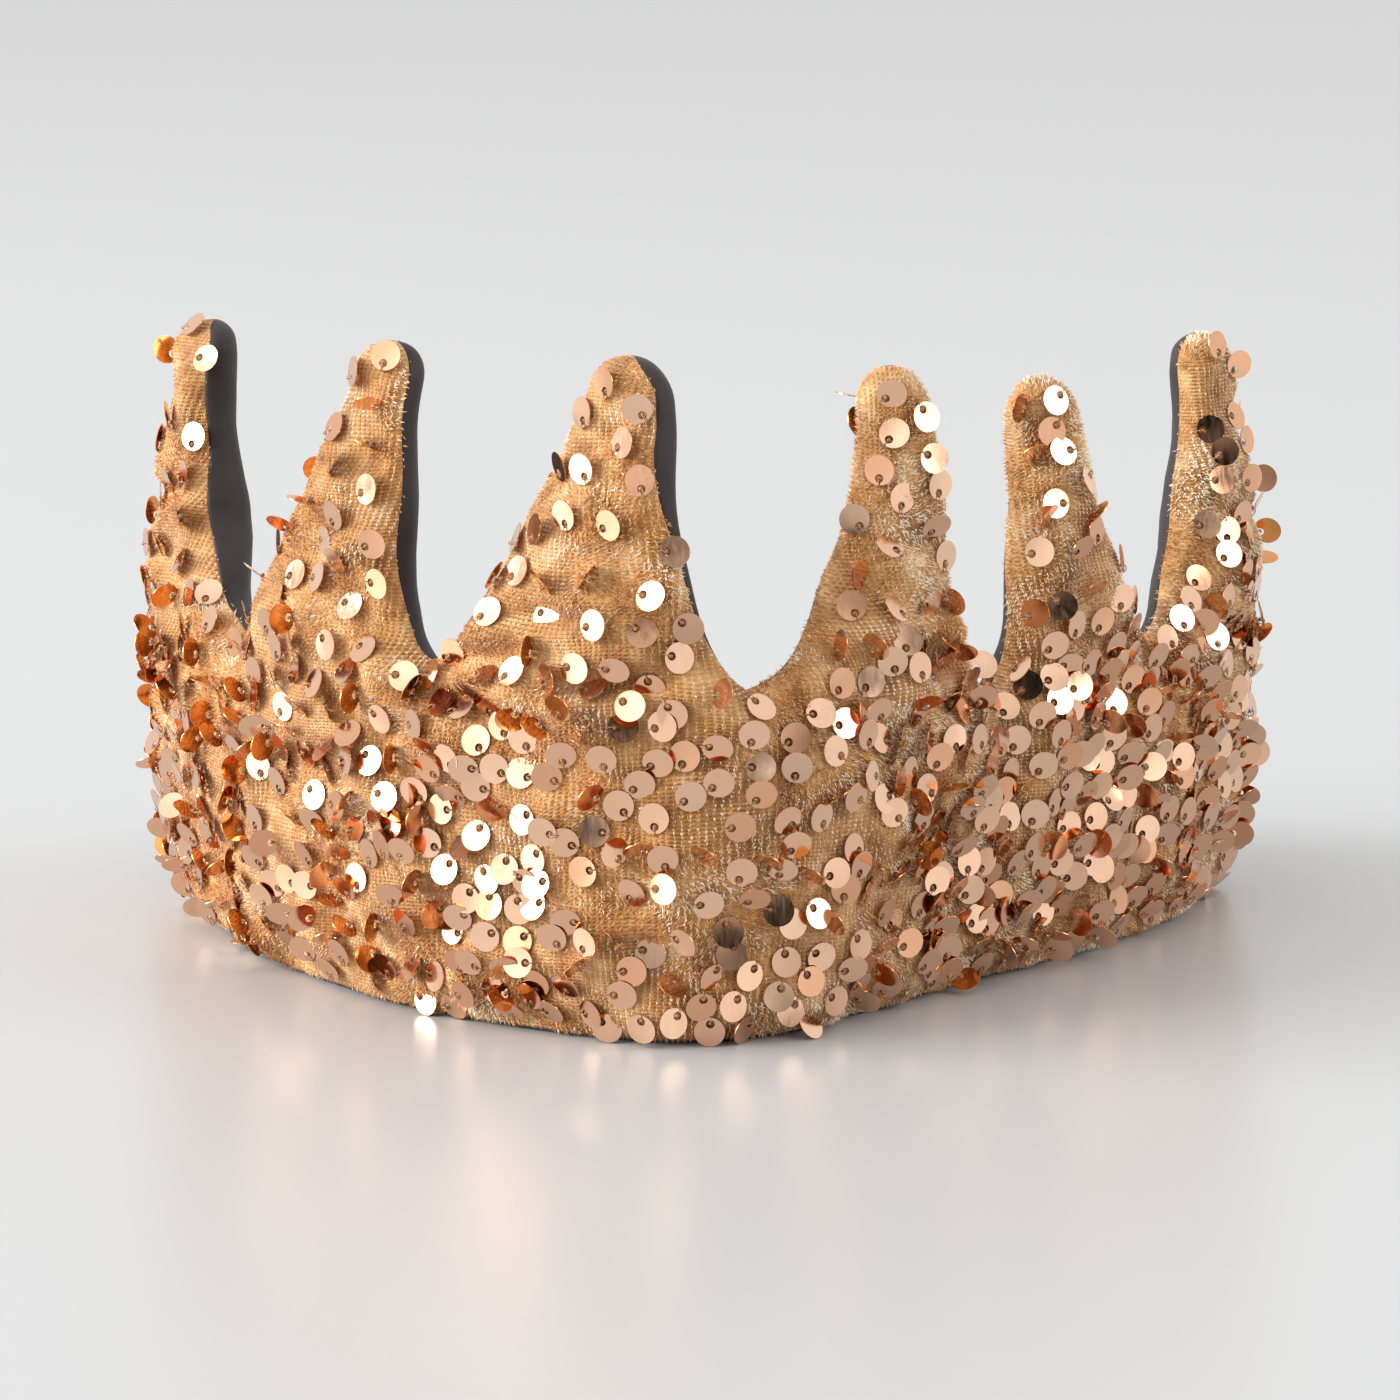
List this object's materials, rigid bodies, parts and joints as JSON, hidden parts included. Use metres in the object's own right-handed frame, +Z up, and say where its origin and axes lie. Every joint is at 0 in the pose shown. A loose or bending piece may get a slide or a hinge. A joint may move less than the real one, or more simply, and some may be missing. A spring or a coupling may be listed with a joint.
{
  "type": "padded sequin crown",
  "caption": "Soft dress-up crown: a padded band of sequinned velvet with stuffed spikes round the front, plain lining inside and an elastic back.",
  "frame": {"origin": "middle of the base: the centre of the overall box, on the surface that the crown stands on", "axes": "+Z up, -Y to the front of the crown, +X to the right seen from the front; the crown is widest along X"},
  "size_m": [0.1978, 0.1678, 0.1108],
  "materials": {
    "velvet": "crushed pile",
    "lining": "satin",
    "interfacing": "matt",
    "filling": "matt",
    "elastic": "woven",
    "thread": "satin",
    "sequin": "metallised",
    "sewing_thread": "clear"
  },
  "bodies": {
    "front": {"velvet_front": "velvet", "lining_front": "lining", "interfacing_front": "interfacing", "band_wadding_front": "filling", "spike_stuffing_3": "filling", "spike_stuffing_4": "filling", "elastic_band": "elastic", "elastic_sleeve": "lining"},
    "left_wing": {"velvet_left": "velvet", "lining_left": "lining", "interfacing_left": "interfacing", "band_wadding_left": "filling", "spike_stuffing_1": "filling", "spike_stuffing_2": "filling", "end_stitch_left": "thread"},
    "right_wing": {"velvet_right": "velvet", "lining_right": "lining", "interfacing_right": "interfacing", "band_wadding_right": "filling", "spike_stuffing_5": "filling", "spike_stuffing_6": "filling", "end_stitch_right": "thread"}
  },
  "joints": [
    {"name": "left_wing_flex", "type": "hinge", "parent": "front", "child": "left_wing", "pos_m": [-0.04776, -0.06485, 0], "axis": [0, 0, 1], "range_deg": [0, 15], "stiffness_Nm_per_rad": 0.05, "deforming": ["elastic_band", "elastic_sleeve"]},
    {"name": "right_wing_flex", "type": "hinge", "parent": "front", "child": "right_wing", "pos_m": [0.05252, -0.03961, 0], "axis": [0, 0, -1], "range_deg": [0, 15], "stiffness_Nm_per_rad": 0.05, "deforming": ["elastic_band", "elastic_sleeve"]}
  ]
}
